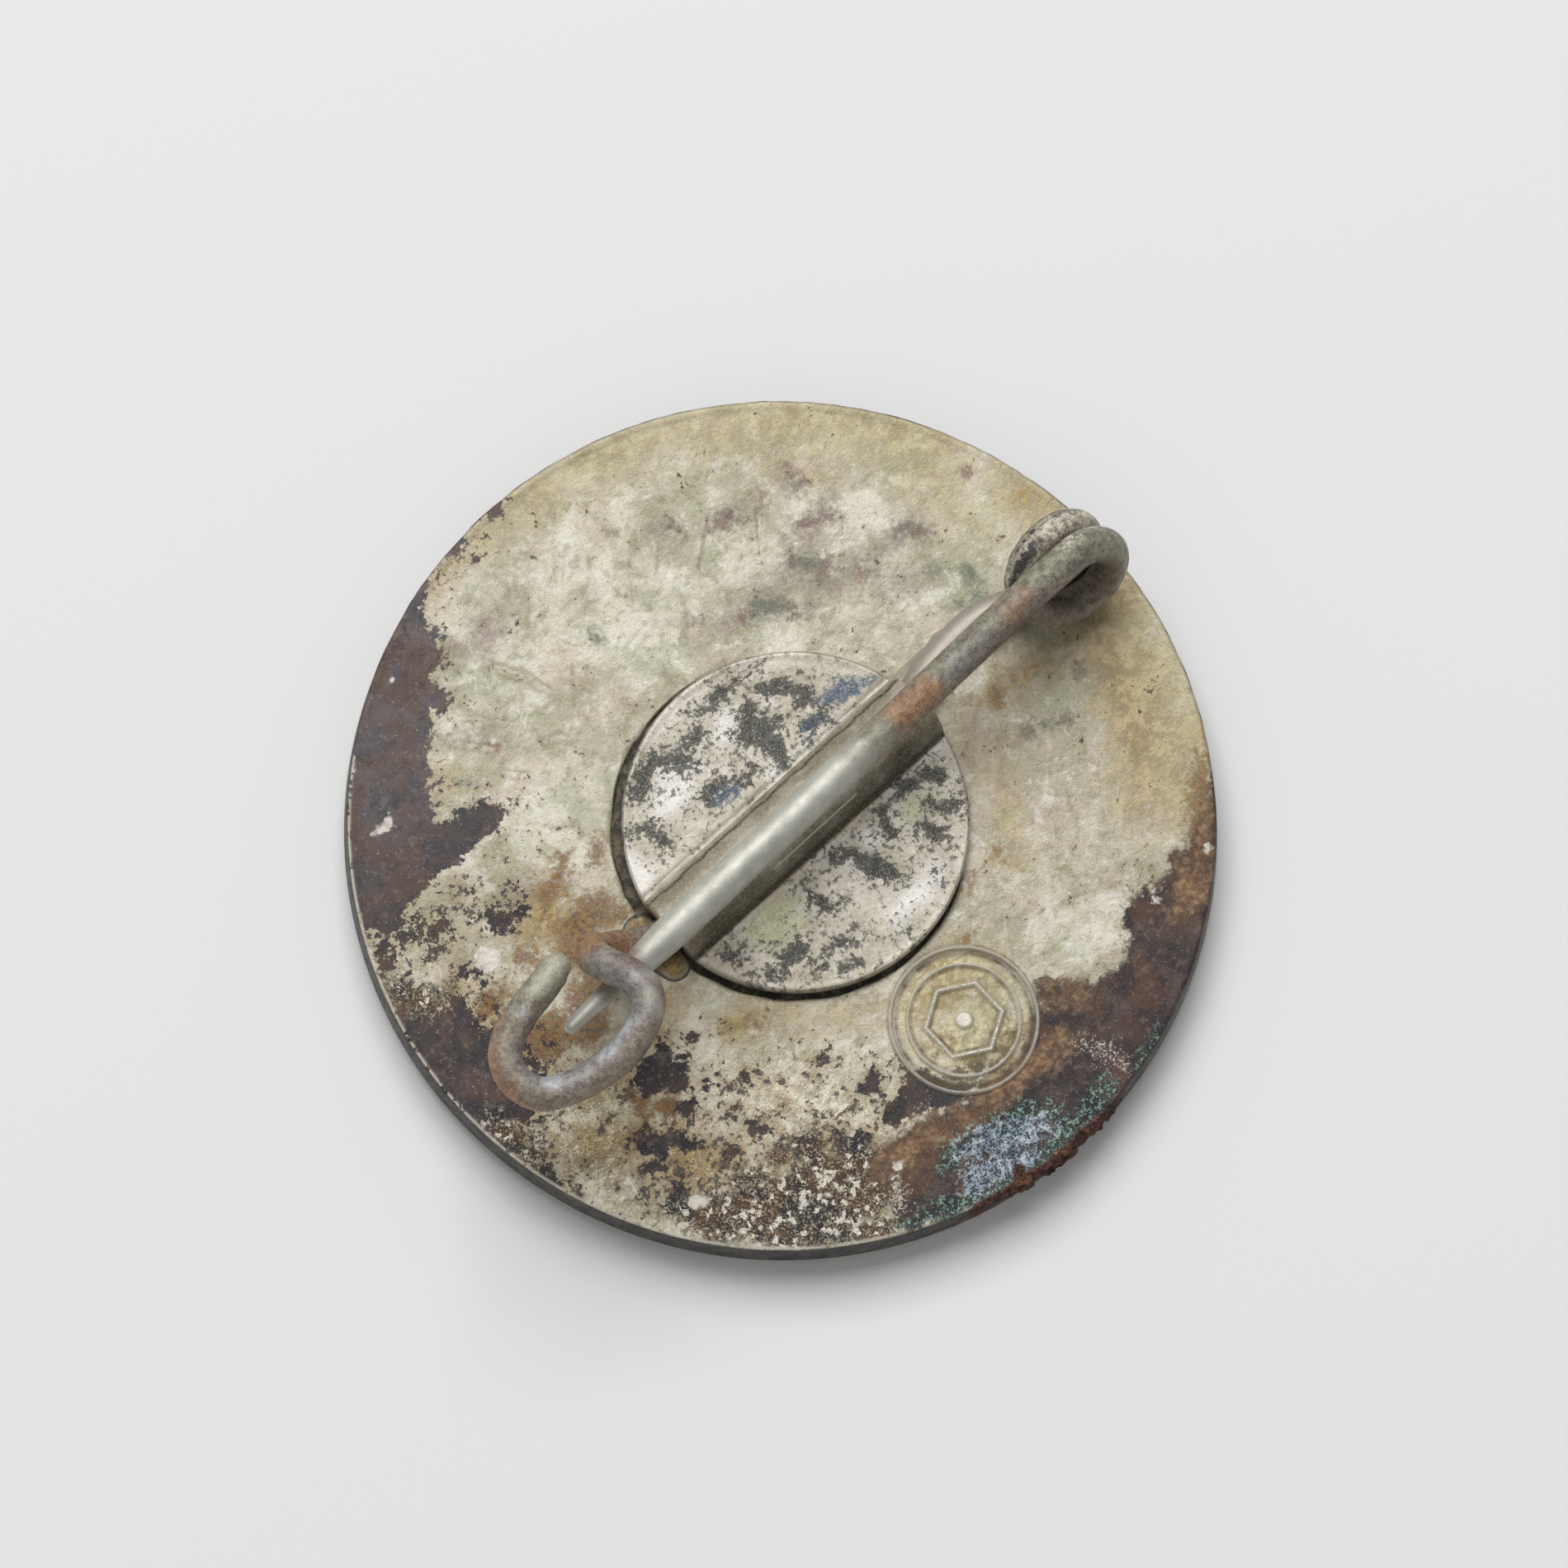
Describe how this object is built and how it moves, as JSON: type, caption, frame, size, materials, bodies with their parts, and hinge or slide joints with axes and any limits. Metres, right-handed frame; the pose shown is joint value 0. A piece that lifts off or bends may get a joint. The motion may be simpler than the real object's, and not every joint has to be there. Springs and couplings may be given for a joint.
{
  "type": "pin-back badge",
  "caption": "Round struck-metal badge with enamelled front, soldered pin plate, sprung wire pin and catch hook.",
  "frame": {"origin": "centre of the disc, on the flat middle of the enamelled front, which rests on the ground plane", "axes": "+Z out of the back, through the pin assembly; +X along the pin, from the catch hook to the spring coil; +Y across the pin"},
  "size_m": [0.0232, 0.0232, 0.0065],
  "materials": {
    "worn_nickel_disc": "nickel-plated copper alloy, matt and creamy, with brown to purple-black tarnish, pits and verdigris",
    "worn_nickel_plate": "nickel-plated sheet, pale, with charcoal mottling and blue stains",
    "pin_wire": "nickel-plated wire, satin on the needle, rusty and grey-blue elsewhere",
    "solder": "dull dark solder",
    "enamel_ivory": "opaque vitreous enamel with fine crazing",
    "enamel_blue": "deep glossy vitreous enamel"
  },
  "bodies": {
    "badge": {"badge_disc": "worn_nickel_disc", "enamel_centre": "enamel_ivory", "enamel_band": "enamel_blue", "pin_plate": "worn_nickel_plate", "plate_solder": "solder", "base_leg": "pin_wire", "catch_hook": "pin_wire"},
    "coil": {"spring_coil": "pin_wire"},
    "needle": {"needle": "pin_wire"}
  },
  "joints": [
    {"name": "needle_press", "type": "hinge", "parent": "badge", "child": "coil", "pos_m": [0.0097, -0.00033, 0.00356], "axis": [0.1076, 0.8764, -0.4695], "range_deg": [-3, 0], "stiffness_Nm_per_rad": 0.2, "deforming": ["spring_coil"]},
    {"name": "needle_swing", "type": "hinge", "parent": "coil", "child": "needle", "pos_m": [0.0097, -0.00033, 0.00356], "axis": [0, 0, 1], "range_deg": [0, 25], "stiffness_Nm_per_rad": 0.2, "deforming": ["spring_coil"]}
  ]
}
